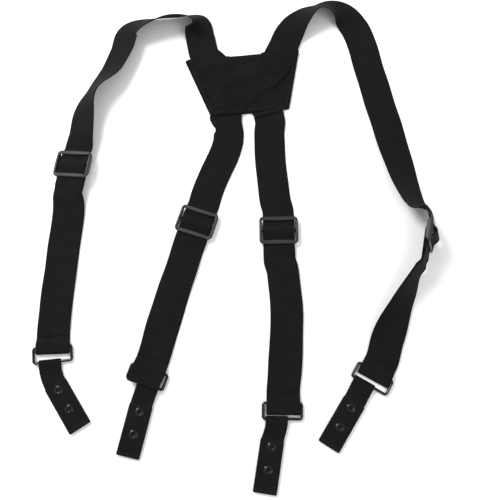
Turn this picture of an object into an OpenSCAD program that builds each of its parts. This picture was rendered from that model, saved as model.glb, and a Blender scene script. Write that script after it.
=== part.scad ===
// Detachable X-back shoulder straps of a lumbar support belt, laid out flat.
//
// Two elastic webbings cross in a sewn yoke. Each of the four ends runs through a three-bar
// slider, doubles back round a wire ring and is sewn round the slider's centre bar. A short
// webbing tab with two press-stud sockets hangs on each ring and snaps onto the belt.
//
// The floor is z = 0 and the origin is the middle of the yoke's back face. +Y points to the
// shoulder arches and -Y to the tabs. A heading is an angle in degrees from -Y towards +X.
// A bank is the roll of the webbing about its own run, positive with its +X side raised.

/* [Webbing] */
// Width of the elastic webbing
strap_w = 38; // [32:0.5:42]
// Thickness of the elastic webbing
strap_t = 1.5; // [1.2:0.05:1.8]

/* [Slider] */
// Length of a slider along the webbing
slider_l = 34; // [32:0.5:42]
// Width of a slider's two outer bars
slider_bar_w = 5; // [4:0.25:6]
// Width of a slider's side rails
slider_rail_w = 3.2; // [2.4:0.2:4.5]
// Thickness of a slider's outer bars
slider_bar_t = 2.4; // [1.8:0.1:3.2]
// Diameter of a slider's centre bar
centre_bar_d = 3.4; // [2.8:0.1:4]
// Corner radius of a slider
slider_corner = 5; // [2:0.5:7]

/* [Ring] */
// Outer length of a ring along the webbing
ring_l = 20.5; // [20:0.5:26]
// Diameter of a ring's bars
ring_wire = 3.2; // [2.6:0.1:3.6]
// Radius of a ring's corners, on the middle of its bars
ring_corner = 2.5; // [2:0.25:4]
// Play between the webbing and a slider's rails or a ring's sides, on each side
side_play = 1.1; // [0.8:0.1:2]

/* [Tab] */
// Width of the snap panel
panel_w = 26.5; // [24:0.5:34]
// Length of the snap panel
panel_l = 58; // [50:1:80]
// Thickness of the snap panel
panel_t = 3; // [2.8:0.1:4]
// Width of the webbing that joins the panel to the ring
loop_w = 25; // [18:0.5:30]
// Thickness of that webbing
loop_t = 1.4; // [1:0.1:1.4]
// Reach of that webbing from the ring's bar to the panel
loop_reach = 23; // [16:1:30]

/* [Press studs] */
// Diameter of the caps on the back of the tabs
cap_d = 12.4; // [9:0.2:14]
// Height of the caps
cap_t = 1.2; // [1:0.1:2]
// Diameter of the sockets on the front of the tabs
socket_d = 10.2; // [8.4:0.2:12]
// Height of the sockets
socket_t = 1.9; // [1.7:0.1:2.6]
// Bore of the sockets, which takes the stud on the belt
socket_bore = 4.6; // [4.4:0.1:5.2]
// Distance between the two sockets of a tab
snap_pitch = 25; // [16:0.5:28]
// Distance from the panel's upper edge to the first socket
snap_margin = 8; // [7:0.5:12]

/* [Yoke] */
// Thickness of each of the yoke's two panels
yoke_t = 1.3; // [0.8:0.1:2]
// Distance from the yoke's edge to its seam
seam_inset = 4; // [3:0.5:6]

/* [Hidden] */

$fn = 64;
FL = 0;
BL = 1;
BR = 2;
FR = 3;

gap = 0.05;                     // air between layers that lie on each other
clear = 0.4;                    // running clearance under the sliders' bars
eps = 0.01;

// Heights of the layers above the floor, in any slider's or ring's own frame
return_z = strap_t / 2;                         // middle of the returning layer
front_z = 1.5 * strap_t + gap;                  // middle of the layer on top of it
centre_bar_z = strap_t + gap + centre_bar_d / 2;
slider_z = 3 * strap_t + 2 * gap + clear;       // underside of a slider's outer bars
slider_top = slider_z + slider_bar_t;
rail_low = centre_bar_z - centre_bar_d / 2 - 0.2;   // lowest edge of a slider's side rails
slider_inner_w = strap_w + 2 * side_play;
slider_w = slider_inner_w + 2 * slider_rail_w;
wrap_r = centre_bar_d / 2 + gap + strap_t / 2;  // sewn end round the centre bar
hump_r = wrap_r + strap_t + gap;                // webbing over the sewn end
tail_u = slider_l / 2 + 9;                      // where the sewn tail ends
lead_in = slider_l / 2 + 7;                     // where the strap enters the slider's frame
lead_out = tail_u + 8;                          // where the doubled run leaves it

ring_r = ring_wire / 2;
ring_z = strap_t + 2 * gap + ring_r;            // middle of a ring's bars
ring_half_w = strap_w / 2 + side_play + ring_r; // from a ring's middle to its side bars
bar_to_bar = ring_l - ring_wire;
fold_lead = 12;                                 // where the doubled run meets the fold
fold_r = ring_z - return_z;                     // radius of the plain fold

loop_bore_r = ring_r + 0.2;
loop_edge = bar_to_bar - loop_bore_r - loop_t;  // how near the tab's loop comes to a fold
panel_z = cap_t;
panel_top = cap_t + panel_t;
post_r = 1.9;

yoke_play = 0.2;
lower_lift = yoke_t + yoke_play;                // webbing on the yoke's back panel
upper_lift = lower_lift + strap_t + gap;        // webbing that crosses over it
yoke_front_z = upper_lift + strap_t + yoke_play;
yoke_corners = [[-79, 32], [68.5, 46.5], [54.5, -36], [-44, -47.5]];
yoke_round = 2.5;

// Each slider's place on the floor, its lift, heading and bank
slider_at = [[-210.3, -114.3], [-59, -187], [39.5, -197], [211.8, -206]];
slider_heading = [-9, -18, 1, -11];
slider_bank = [15, 0, 0, -72];
// A banked slider stands on its webbing's lower edge or on its own lower side rail
slider_lift = [
    for (b = slider_bank)
        max(strap_w / 2 * abs(sin(b)), slider_w / 2 * abs(sin(b)) - rail_low * cos(b))
];

// Stations along each webbing from the yoke's middle to its slider:
// x, y, height of the lower edge above the floor, bank
crossing = [0, -6];
stations = [
    [
        [crossing.x, crossing.y, lower_lift, 0], [-28, 14, lower_lift, 0], [-43, 29, lower_lift, 0],
        [-54, 40, lower_lift + 0.3, 1], [-60, 66, 1, 8], [-64.5, 85.5, 0, 46], [-90, 87.5, 0, 62],
        [-120, 82.5, 0, 54], [-151, 70.5, 0, 30], [-159.5, 43, 0, 30], [-171.5, 14, 0, 36],
        [-192, -16, 0, 54], [-202, -44, 0, 36], [-204, -72, 0, 27]
    ],
    [
        [crossing.x, crossing.y, upper_lift, 0], [-20, -28, upper_lift, 0],
        [-24.5, -50, 2, 0], [-21.5, -74, 0.3, 0], [-27.5, -98, 0, 0], [-45.5, -142, 0, 0]
    ],
    [
        [crossing.x, crossing.y, lower_lift, 0], [20, -26, lower_lift, 0],
        [30, -50, 1.6, 0], [29, -74, 0.2, 0], [31.5, -120, 0, 0],
        [35.5, slider_at[BR].y + lead_in + 18, 0, 0]
    ],
    [
        [crossing.x, crossing.y, upper_lift, 0], [30, 18, upper_lift, 0],
        [46, 47, 2, 0], [56, 71, 1, -4], [72, 90, 0, -30], [95, 103, 0, -52],
        [122, 101, 0, -14], [140, 83, 0, 0], [150.5, 54, 0, 0], [159.5, 14, 0, 0],
        [169.5, -28, 0, 0], [179.5, -70, 0, -3], [188, -109, 0, -13], [196.5, -144, 0, -28],
        [204, -166, 0, -42]
    ]
];
// The webbing that carries on across the yoke from each strap
opposite = [BR, FR, FL, BL];

// Stations of each doubled run from its slider to its ring
run_stations = [
    [[-215, -170, 0, 3], [-218, -220, 0, 0], [-222, -290, 0, 0]],
    [[-76.7, -244, 0, 0], [-93.7, -300, 0, 0]],
    [[44.3, -250, 0, 0], [48, -300, 0, 0], [45.5, -360, 0, 0]],
    [[199, -251, 0, -70], [190, -269, 0, -57], [178.5, -292, 0, -41], [164.2, -326, 0, -10]]
];

// Each fold's place, on the ring's upper bar, its heading and its reach past that bar
fold_at = [[-222, -336], [-110, -361.5], [42.5, -399.5], [149, -365]];
fold_heading = [2, -18, -1, -29];
fold_reach = [loop_edge - 5.35, bar_to_bar + 2.2, loop_edge - 0.9, loop_edge - 3.7];

// Each ring's heading, how far it sits to the +X side of its fold, and where on its lower
// bar the tab lies, from 1 at the +X end to -1 at the other
ring_heading = [6, -19, -1, -30];
ring_shift = [-0.4, 0.9, -0.9, -0.7];
tab_side = [-0.5, 0.7, -0.98, -0.9];
tab_room = ring_half_w - ring_corner - loop_w / 2 - 0.2;
tab_shift = tab_side * tab_room;
panel_heading = [33, -13, -9, -32];
// How far each loop slants to the +X side between its ring and its panel
loop_slant = [5, 0.5, -4.5, 0.3];
// How much further than the others each panel sits from its ring
loop_slack = [2.5, 0, -0.5, 1.2];

stitch_l = 2.2;
stitch_w = 0.5;
stitch_h = 0.3;
stitch_pitch = 3.4;

// ---- Vectors and frames ----

function unit(v) = v / norm(v);
function flat(v) = [v.x, v.y, 0];
function along(h) = [sin(h), -cos(h), 0];
function across(h, b) = cos(b) * [cos(h), sin(h), 0] + [0, 0, sin(b)];
function normal(h, b) = cross(along(h), across(h, b));
// A point at u along, v across and w above a frame with the given origin, heading and bank
function placed(o, h, b, u, v, w) = o + u * along(h) + v * across(h, b) + w * normal(h, b);

// Moves what is drawn along +X, with its front to +Z, to a frame
module in_frame(o, h, b = 0) {
    translate(o) rotate([0, 0, h - 90]) rotate([b, 0, 0]) children();
}

function slider_origin(k) = [slider_at[k].x, slider_at[k].y, slider_lift[k]];
function fold_origin(k) = [fold_at[k].x, fold_at[k].y, 0];
function ring_origin(k) =
    placed(fold_origin(k), ring_heading[k], 0, 0, ring_shift[k], 0);
function tab_origin(k) =
    placed(ring_origin(k), ring_heading[k], 0, bar_to_bar, tab_shift[k], 0);
function panel_origin(k) =
    placed(tab_origin(k), ring_heading[k], 0, loop_reach + loop_slack[k], loop_slant[k], 0);

// ---- Smooth runs through stations of [x, y, z, bank] ----

function curve(a, b, c, d, t) =
    (2 * b + (c - a) * t + (2 * a - 5 * b + 4 * c - d) * t * t
        + (3 * b - a - 3 * c + d) * t * t * t) / 2;
function slope(a, b, c, d, t) =
    ((c - a) + 2 * (2 * a - 5 * b + 4 * c - d) * t
        + 3 * (3 * b - a - 3 * c + d) * t * t) / 2;

// A station whose lower edge is at the given height, for a stack of the given thickness
function lifted(s, stack) =
    [s.x, s.y, s[2] + strap_w / 2 * abs(sin(s[3])) + stack / 2, s[3]];
// A station on a frame's middle plane
function framed(o, h, b, u, w) = concat(placed(o, h, b, u, 0, w), [b]);
function place_of(s) = [s.x, s.y, s.z];
// The station beyond an end at which the run keeps the given heading
function beyond(end, inner, h) =
    concat(place_of(inner) + 2 * norm(place_of(end) - place_of(inner)) * along(h), [inner[3]]);
function behind(end, inner, h) =
    concat(place_of(inner) - 2 * norm(place_of(end) - place_of(inner)) * along(h), [inner[3]]);

// A ring of a ribbon: its middle, its direction across and its front normal
function banked(p, way, bank) =
    let (
        t = unit(place_of(way)),
        left = unit([-t.y, t.x, 0]),
        w = cos(bank) * left + sin(bank) * cross(t, left)
    )
    [place_of(p), w, cross(t, w)];

// A smoothed station that has dipped through the floor is put back on it
function rested(p, stack) =
    [p.x, p.y, max(p.z, strap_w / 2 * abs(sin(p[3])) + stack / 2), p[3]];

steps = 5;
function smooth(list, stack) = [
    for (i = [1 : len(list) - 3], j = [0 : steps - (i < len(list) - 3 ? 1 : 0)])
        let (
            a = list[i - 1],
            b = list[i],
            c = list[i + 1],
            d = list[i + 2],
            p = rested(curve(a, b, c, d, j / steps), stack)
        )
        banked(p, slope(a, b, c, d, j / steps), p[3])
];
function raised(rings, by) = [for (r = rings) [r[0] + by * r[2], r[1], r[2]]];

// Rings along a path of [u, w] points in a frame
function profiled(o, h, b, path) = [
    for (i = [0 : len(path) - 1])
        let (
            from = path[max(i - 1, 0)],
            to = path[min(i + 1, len(path) - 1)],
            t = unit(to - from),
            n = -t.y * along(h) + t.x * normal(h, b)
        )
        [placed(o, h, b, path[i].x, 0, path[i].y), across(h, b), n]
];

// A closed strip of webbing through the rings
module strip(rings, w, t) {
    corners = [
        for (r = rings, c = [[-1, -1], [1, -1], [1, 1], [-1, 1]])
            r[0] + c.x * w / 2 * r[1] + c.y * t / 2 * r[2]
    ];
    last = 4 * (len(rings) - 1);
    // The front is split the same way as the back, so that stacked strips stay apart in a twist
    sides = [
        for (i = [0 : len(rings) - 2], j = [0 : 3])
            let (
                a = 4 * i + j,
                b = 4 * i + (j + 1) % 4
            )
            each j == 2
                ? [[a, a + 4, b], [a + 4, b + 4, b]]
                : [[a, a + 4, b + 4], [a, b + 4, b]]
    ];
    ends = [[0, 1, 2, 3], [last + 3, last + 2, last + 1, last]];
    polyhedron(corners, concat(sides, ends));
}

// ---- Webbing ----

function strap_rings(k) =
    let (
        own = [for (s = stations[k]) lifted(s, strap_t)],
        end = framed(slider_origin(k), slider_heading[k], slider_bank[k], -lead_in, return_z),
        over = lifted(stations[opposite[k]][1], strap_t)
    )
    smooth(
        concat([over], own, [end, beyond(end, own[len(own) - 1], slider_heading[k])]),
        strap_t
    );

module strap(k) {
    color([0.11, 0.105, 0.11]) strip(strap_rings(k), strap_w, strap_t);
}

// Both layers of a doubled run follow this middle line
function run_rings(k) =
    let (
        mid = strap_t + gap / 2,
        own = [for (s = run_stations[k]) lifted(s, 2 * strap_t + gap)],
        start = framed(slider_origin(k), slider_heading[k], slider_bank[k], lead_out, mid),
        end = framed(fold_origin(k), fold_heading[k], 0, -fold_lead, mid),
        before = behind(start, own[0], slider_heading[k]),
        after = beyond(end, own[len(own) - 1], fold_heading[k])
    )
    smooth(concat([before, start], own, [end, after]), 2 * strap_t + gap);
half_stack = (strap_t + gap) / 2;

// Webbing under the slider's upper bar, over the sewn end and under the lower bar
bar_u = (slider_l - slider_bar_w) / 2;
tail_z = 1.5 * strap_t + gap;
over_tail_z = 2.5 * strap_t + 2 * gap;
threaded_path = concat(
    [
        [-lead_in, return_z], [-lead_in + 1.5, return_z], [-slider_l / 2 - 1, 1.3 * strap_t],
        [-bar_u, 2 * strap_t], [-bar_u + 4, 2.5 * strap_t], [-hump_r - 1.6, centre_bar_z + 1]
    ],
    [
        for (a = [150 : -20 : 70])
            [hump_r * cos(a), centre_bar_z + hump_r * sin(a)]
    ],
    [
        [2 * strap_t, centre_bar_z + 0.85 * hump_r], [3.6 * strap_t, over_tail_z + 1.6],
        [5.6 * strap_t, over_tail_z + 0.5], [bar_u - 3, over_tail_z],
        [slider_l / 2 + 2, over_tail_z], [tail_u + 0.5, over_tail_z],
        [tail_u + 3, over_tail_z - 0.5 * strap_t], [lead_out - 2, front_z]
    ]
);

module front_run(k) {
    threaded = profiled(slider_origin(k), slider_heading[k], slider_bank[k], threaded_path);
    color([0.115, 0.11, 0.115])
        strip(concat(threaded, raised(run_rings(k), half_stack)), strap_w, strap_t);
}

// The webbing's end, sewn round the centre bar with its tail on the returning layer
sewn_path = concat(
    [
        [tail_u, tail_z], [5.6 * strap_t, tail_z], [3.6 * strap_t, tail_z + 0.5],
        [2.3 * strap_t, centre_bar_z + 0.5 * strap_t]
    ],
    [
        for (a = [50 : 20 : 270])
            [wrap_r * cos(a), centre_bar_z + wrap_r * sin(a)]
    ],
    [[4 * strap_t, return_z], [lead_out - 2, return_z]]
);

module return_run(k) {
    sewn = profiled(slider_origin(k), slider_heading[k], slider_bank[k], sewn_path);
    color([0.1, 0.095, 0.1])
        strip(concat(sewn, raised(run_rings(k), -half_stack)), strap_w, strap_t);
}

// A short fold turns just past the ring's upper bar, a long one climbs over the lower bar
function plain_fold(reach) =
    let (u = reach - fold_r - strap_t / 2)
    concat(
        [[0, ring_z + fold_r + 0.05], [u * 0.6, ring_z + fold_r]],
        [for (a = [90 : -22.5 : -90]) [u + fold_r * cos(a), ring_z + fold_r * sin(a)]]
    );
function climbing_fold(reach) =
    let (
        turn_r = (strap_t + 2 * gap) / 2,
        u = reach - turn_r - strap_t / 2,
        w = ring_z + ring_r + loop_t + strap_t + turn_r + 0.6
    )
    concat(
        [[0, ring_z + fold_r + 0.05], [u * 0.3, ring_z + fold_r + 0.8], [u * 0.65, w]],
        [for (a = [90 : -45 : -90]) [u + turn_r * cos(a), w + turn_r * sin(a)]],
        [
            [u * 0.8, w - turn_r - 0.1], [u * 0.55, w - turn_r - 2.2],
            [u * 0.3, return_z + 1.4], [u * 0.12, return_z + 0.1]
        ]
    );

module loop_fold(k) {
    reach = fold_reach[k];
    turn = reach > bar_to_bar ? climbing_fold(reach) : plain_fold(reach);
    path = concat(
        [
            [-fold_lead, front_z], [-fold_lead + 1.5, front_z], [-fold_lead + 4, front_z + 0.7],
            [-5.5, ring_z + 1.4], [-3.2, ring_z + fold_r]
        ],
        turn,
        [[-2, return_z], [-fold_lead + 1.5, return_z], [-fold_lead, return_z]]
    );
    color([0.12, 0.115, 0.12])
        strip(profiled(fold_origin(k), fold_heading[k], 0, path), strap_w, strap_t);
}

// ---- Slider ----

module rounded_rectangle(l, w, r) {
    square([l - 2 * r, w], center = true);
    square([l, w - 2 * r], center = true);
    for (x = [-1, 1], y = [-1, 1])
        translate([x * (l / 2 - r), y * (w / 2 - r)]) circle(r);
}

// The side rails are lens-shaped: deepest at the centre bar and thin at the outer bars
rail_rise = 1.4;
module slider_rail() {
    end_u = slider_l / 2;
    rotate([90, 0, 0]) linear_extrude(slider_rail_w) polygon(concat(
        [
            [-end_u, slider_z], [-bar_u, slider_z - 0.6], [-5, rail_low], [5, rail_low],
            [bar_u, slider_z - 0.6], [end_u, slider_z]
        ],
        [for (i = [4 : -1 : -4]) [i / 4 * end_u, slider_top + rail_rise * (1 - i * i / 16)]]
    ));
}

module slider_body() {
    intersection() {
        linear_extrude(slider_top + rail_rise + 1)
            rounded_rectangle(slider_l, slider_w, slider_corner);
        union() {
            for (s = [-1, 1])
                translate([s * bar_u, 0, slider_z + slider_bar_t / 2])
                    cube([slider_bar_w, slider_w, slider_bar_t], center = true);
            translate([0, slider_w / 2, 0]) slider_rail();
            translate([0, -slider_inner_w / 2, 0]) slider_rail();
        }
    }
    translate([0, 0, centre_bar_z]) rotate([90, 0, 0])
        cylinder(h = slider_inner_w + 2 * slider_rail_w - 1, d = centre_bar_d, center = true);
}

module slider(k) {
    color([0.27, 0.27, 0.27])
        in_frame(slider_origin(k), slider_heading[k], slider_bank[k]) slider_body();
}

// ---- Ring ----

module ring_body() {
    straight_u = bar_to_bar - 2 * ring_corner;
    straight_v = 2 * (ring_half_w - ring_corner);
    for (u = [0, bar_to_bar])
        translate([u, 0, 0]) rotate([90, 0, 0])
            cylinder(h = straight_v, r = ring_r, center = true);
    for (s = [-1, 1])
        translate([bar_to_bar / 2, s * ring_half_w, 0]) rotate([0, 90, 0])
            cylinder(h = straight_u, r = ring_r, center = true);
    for (s = [-1, 1], e = [0, 1])
        translate([
            e * bar_to_bar + (1 - 2 * e) * ring_corner, s * (ring_half_w - ring_corner), 0
        ])
            rotate([0, 0, s > 0 ? 90 * (1 - e) : 180 + 90 * e])
                rotate_extrude(angle = 90) translate([ring_corner, 0]) circle(ring_r);
}

module ring(k) {
    color([0.06, 0.06, 0.065])
        in_frame(ring_origin(k) + [0, 0, ring_z], ring_heading[k]) ring_body();
}

// ---- Tab ----

// The panel's outline on the floor, which also trims the loop
module panel_outline(k, grow = 0) {
    in_frame(panel_origin(k), panel_heading[k])
        translate([-grow, 0, 0]) linear_extrude(panel_top + 1)
            translate([panel_l / 2, 0]) rounded_rectangle(panel_l, panel_w, 1);
}

module tab_loop(k) {
    outer_r = loop_bore_r + loop_t;
    mid_z = panel_z + panel_t / 2;
    panel_u = loop_reach + loop_slack[k];
    end_u = panel_u + 6;
    pinch_u = 0.6 * loop_reach;
    half_w = loop_w / 2;
    side = half_w + abs(loop_slant[k]) + 2;
    slant = loop_slant[k] * (end_u - outer_r) / (panel_u - outer_r);
    color([0.09, 0.088, 0.09]) difference() {
        in_frame(tab_origin(k), ring_heading[k]) intersection() {
            translate([0, side, 0]) rotate([90, 0, 0]) linear_extrude(2 * side)
                difference() {
                    union() {
                        translate([0, ring_z]) circle(outer_r);
                        polygon([
                            [0, ring_z + outer_r], [pinch_u, mid_z + loop_t],
                            [end_u, mid_z + loop_t], [end_u, mid_z - loop_t],
                            [pinch_u, mid_z - loop_t], [0, ring_z - outer_r]
                        ]);
                    }
                    translate([0, ring_z]) circle(loop_bore_r);
                    polygon([
                        [0, ring_z + loop_bore_r], [pinch_u, mid_z + gap],
                        [pinch_u, mid_z - gap], [0, ring_z - loop_bore_r]
                    ]);
                }
            linear_extrude(2 * panel_top + 10) polygon([
                [-outer_r - 1, -half_w], [outer_r, -half_w], [end_u, slant - half_w],
                [end_u, slant + half_w], [outer_r, half_w], [-outer_r - 1, half_w]
            ]);
        }
        panel_outline(k);
    }
}

module at_snaps(k) {
    for (i = [0, 1])
        in_frame(panel_origin(k), panel_heading[k])
            translate([snap_margin + i * snap_pitch, 0, 0]) children();
}

module tab_panel(k) {
    color([0.1, 0.098, 0.1]) difference() {
        in_frame(panel_origin(k), panel_heading[k]) translate([panel_l / 2, 0, panel_z])
            linear_extrude(panel_t) rounded_rectangle(panel_l, panel_w, 1);
        at_snaps(k) cylinder(h = 2 * panel_top, r = post_r + 0.1);
    }
}

module stitch() {
    translate([0, 0, stitch_h / 2 + eps]) cube([stitch_l, stitch_w, stitch_h], center = true);
}

// Two rows across the panel's upper hem and one across its lower end
module tab_stitching(k) {
    rows = [1.2, panel_l - 4, panel_l - 2];
    count = floor((panel_w - 4) / stitch_pitch);
    color([0.16, 0.16, 0.165]) in_frame(panel_origin(k), panel_heading[k])
        for (u = rows, i = [0 : count])
            translate([u, (i - count / 2) * stitch_pitch, panel_top])
                rotate([0, 0, 90]) stitch();
}

// A cap's hollow post goes through the panel and is flared in its socket
module snap_caps(k) {
    r = cap_d / 2;
    color([0.05, 0.05, 0.055]) at_snaps(k)
        rotate_extrude() polygon([
            [0, 0.15], [r * 0.5, 0], [r * 0.85, 0.15], [r, 0.55], [r, cap_t],
            [post_r, cap_t], [post_r, panel_top + 0.4], [1.2, panel_top + 0.4],
            [1.2, cap_t], [0, cap_t]
        ]);
}

module snap_sockets(k) {
    r = socket_d / 2;
    bore = socket_bore / 2;
    top = panel_top + socket_t;
    color([0.07, 0.07, 0.075]) at_snaps(k)
        rotate_extrude() polygon([
            [post_r + 0.1, panel_top], [r, panel_top], [r, panel_top + 0.9],
            [r - 0.5, top - 0.2], [r - 1.1, top], [bore + 0.4, top], [bore, top - 0.25],
            [bore, panel_top + 0.5], [post_r + 0.1, panel_top + 0.5]
        ]);
}

// ---- Yoke ----

// Corner centres, moved in from the corners by the corner radius
function inset_corner(i, d) =
    let (
        p = yoke_corners[i],
        a = unit(yoke_corners[(i + 3) % 4] - p),
        b = unit(yoke_corners[(i + 1) % 4] - p),
        half = acos(a * b) / 2
    )
    p + unit(a + b) * d / sin(half);
// The angle of the outward normal of the edge after a corner
function edge_angle(i) =
    let (way = yoke_corners[(i + 1) % 4] - yoke_corners[i])
    atan2(way.x, -way.y);
function rounded_corner(i) =
    let (
        from = edge_angle((i + 3) % 4),
        turn = (edge_angle(i) - from + 540) % 360 - 180
    )
    [
        for (j = [0 : 6])
            let (a = from + turn * j / 6)
            inset_corner(i, yoke_round) + yoke_round * [cos(a), sin(a)]
    ];
module yoke_outline() {
    polygon([for (i = [0 : 3]) each rounded_corner(i)]);
}

module yoke_back_panel() {
    color([0.13, 0.13, 0.13]) linear_extrude(yoke_t) yoke_outline();
}

module yoke_front_panel() {
    color([0.14, 0.14, 0.14])
        translate([0, 0, yoke_front_z]) linear_extrude(yoke_t) yoke_outline();
}

module yoke_seam_thread() {
    seam = [for (i = [0 : 3]) inset_corner(i, seam_inset)];
    color([0.17, 0.17, 0.175])
        for (i = [0 : 3])
            let (
                p = seam[i],
                way = seam[(i + 1) % 4] - p,
                count = floor(norm(way) / stitch_pitch)
            )
            for (j = [0 : count - 1])
                translate([
                    p.x + way.x * (j + 0.5) / count, p.y + way.y * (j + 0.5) / count,
                    yoke_front_z + yoke_t
                ])
                    rotate([0, 0, atan2(way.y, way.x)]) stitch();
}

// ---- Nodes ----

yoke_back_panel();
yoke_front_panel();
yoke_seam_thread();

strap(FL);  // front_left_strap
front_run(FL);  // front_left_front_run
return_run(FL);  // front_left_return_run
loop_fold(FL);  // front_left_loop_fold
slider(FL);  // front_left_slider
ring(FL);  // front_left_ring
tab_loop(FL);  // front_left_tab_loop
tab_panel(FL);  // front_left_tab_panel
tab_stitching(FL);  // front_left_tab_stitching
snap_sockets(FL);  // front_left_snap_sockets
snap_caps(FL);  // front_left_snap_caps

strap(BL);  // back_left_strap
front_run(BL);  // back_left_front_run
return_run(BL);  // back_left_return_run
loop_fold(BL);  // back_left_loop_fold
slider(BL);  // back_left_slider
ring(BL);  // back_left_ring
tab_loop(BL);  // back_left_tab_loop
tab_panel(BL);  // back_left_tab_panel
tab_stitching(BL);  // back_left_tab_stitching
snap_sockets(BL);  // back_left_snap_sockets
snap_caps(BL);  // back_left_snap_caps

strap(BR);  // back_right_strap
front_run(BR);  // back_right_front_run
return_run(BR);  // back_right_return_run
loop_fold(BR);  // back_right_loop_fold
slider(BR);  // back_right_slider
ring(BR);  // back_right_ring
tab_loop(BR);  // back_right_tab_loop
tab_panel(BR);  // back_right_tab_panel
tab_stitching(BR);  // back_right_tab_stitching
snap_sockets(BR);  // back_right_snap_sockets
snap_caps(BR);  // back_right_snap_caps

strap(FR);  // front_right_strap
front_run(FR);  // front_right_front_run
return_run(FR);  // front_right_return_run
loop_fold(FR);  // front_right_loop_fold
slider(FR);  // front_right_slider
ring(FR);  // front_right_ring
tab_loop(FR);  // front_right_tab_loop
tab_panel(FR);  // front_right_tab_panel
tab_stitching(FR);  // front_right_tab_stitching
snap_sockets(FR);  // front_right_snap_sockets
snap_caps(FR);  // front_right_snap_caps
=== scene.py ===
"""X-back shoulder straps of a lumbar support belt: looks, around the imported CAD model.

Lengths are millimetres, as in part.scad, and MM turns them into metres. The floor, the lights and
the camera are placed in metres.
"""

import math

import bmesh
import bpy
import numpy as np
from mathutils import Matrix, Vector


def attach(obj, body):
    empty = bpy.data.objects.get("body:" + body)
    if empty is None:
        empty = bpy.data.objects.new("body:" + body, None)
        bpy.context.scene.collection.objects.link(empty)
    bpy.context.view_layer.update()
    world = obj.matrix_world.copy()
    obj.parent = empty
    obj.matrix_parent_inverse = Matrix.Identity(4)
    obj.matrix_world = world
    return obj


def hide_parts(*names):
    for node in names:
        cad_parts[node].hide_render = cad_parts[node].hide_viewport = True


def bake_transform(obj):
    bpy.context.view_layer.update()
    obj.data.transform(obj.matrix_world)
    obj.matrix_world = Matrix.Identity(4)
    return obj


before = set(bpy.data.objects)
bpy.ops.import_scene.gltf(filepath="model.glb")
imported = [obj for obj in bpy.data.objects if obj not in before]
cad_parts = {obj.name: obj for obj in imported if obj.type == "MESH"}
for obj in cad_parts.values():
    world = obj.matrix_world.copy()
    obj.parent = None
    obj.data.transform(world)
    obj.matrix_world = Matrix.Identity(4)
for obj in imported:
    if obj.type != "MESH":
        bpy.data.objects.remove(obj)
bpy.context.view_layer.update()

MM = 0.001
UP = np.array([0, 0, 1.0])
KEYS = ("front_left", "back_left", "back_right", "front_right")
FL, BL, BR, FR = range(4)

# ---- Sizes, as in part.scad ----

STRAP_W, STRAP_T, GAP = 38.0, 1.5, 0.05
SLIDER_L, BAR_W, RAIL_W, BAR_T, CENTRE_D = 34.0, 5.0, 3.2, 2.4, 3.4
SLIDER_CORNER, RAIL_RISE = 5.0, 1.4
RING_L, RING_WIRE, RING_CORNER, PLAY = 20.5, 3.2, 2.5, 1.1
PANEL_W, PANEL_L, PANEL_T = 26.5, 58.0, 3.0
LOOP_W, LOOP_T, LOOP_REACH = 25.0, 1.4, 23.0
CAP_D, CAP_T, SOCKET_D, SOCKET_T, BORE = 12.4, 1.2, 10.2, 1.9, 4.6
SNAP_PITCH, SNAP_MARGIN = 25.0, 8.0
YOKE_T, YOKE_PLAY, SEAM_INSET = 1.3, 0.2, 4.0

RETURN_Z = STRAP_T / 2
FRONT_Z = 1.5 * STRAP_T + GAP
CENTRE_Z = STRAP_T + GAP + CENTRE_D / 2
SLIDER_Z = 3 * STRAP_T + 2 * GAP + 0.4
SLIDER_TOP = SLIDER_Z + BAR_T
RAIL_LOW = CENTRE_Z - CENTRE_D / 2 - 0.2
INNER_W = STRAP_W + 2 * PLAY
SLIDER_W = INNER_W + 2 * RAIL_W
WRAP_R = CENTRE_D / 2 + GAP + STRAP_T / 2
HUMP_R = WRAP_R + STRAP_T + GAP
BAR_U = (SLIDER_L - BAR_W) / 2
TAIL_U = SLIDER_L / 2 + 9
LEAD_IN = SLIDER_L / 2 + 7
LEAD_OUT = TAIL_U + 8
RING_R = RING_WIRE / 2
RING_Z = STRAP_T + 2 * GAP + RING_R
RING_HALF_W = STRAP_W / 2 + PLAY + RING_R
BAR_TO_BAR = RING_L - RING_WIRE
FOLD_LEAD = 12.0
FOLD_R = RING_Z - RETURN_Z
PANEL_TOP = CAP_T + PANEL_T
LOWER = YOKE_T + YOKE_PLAY
UPPER = LOWER + STRAP_T + GAP
YOKE_FRONT = UPPER + STRAP_T + YOKE_PLAY
YOKE_CORNERS = [(-79, 32), (68.5, 46.5), (54.5, -36), (-44, -47.5)]

# ---- The layout, as in part.scad, with headings in degrees from -Y towards +X ----

SLIDER_AT = [(-210.3, -114.3), (-59, -187), (39.5, -197), (211.8, -206)]
SLIDER_HEADING = (-9, -18, 1, -11)
SLIDER_BANK = (15, 0, 0, -72)

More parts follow.
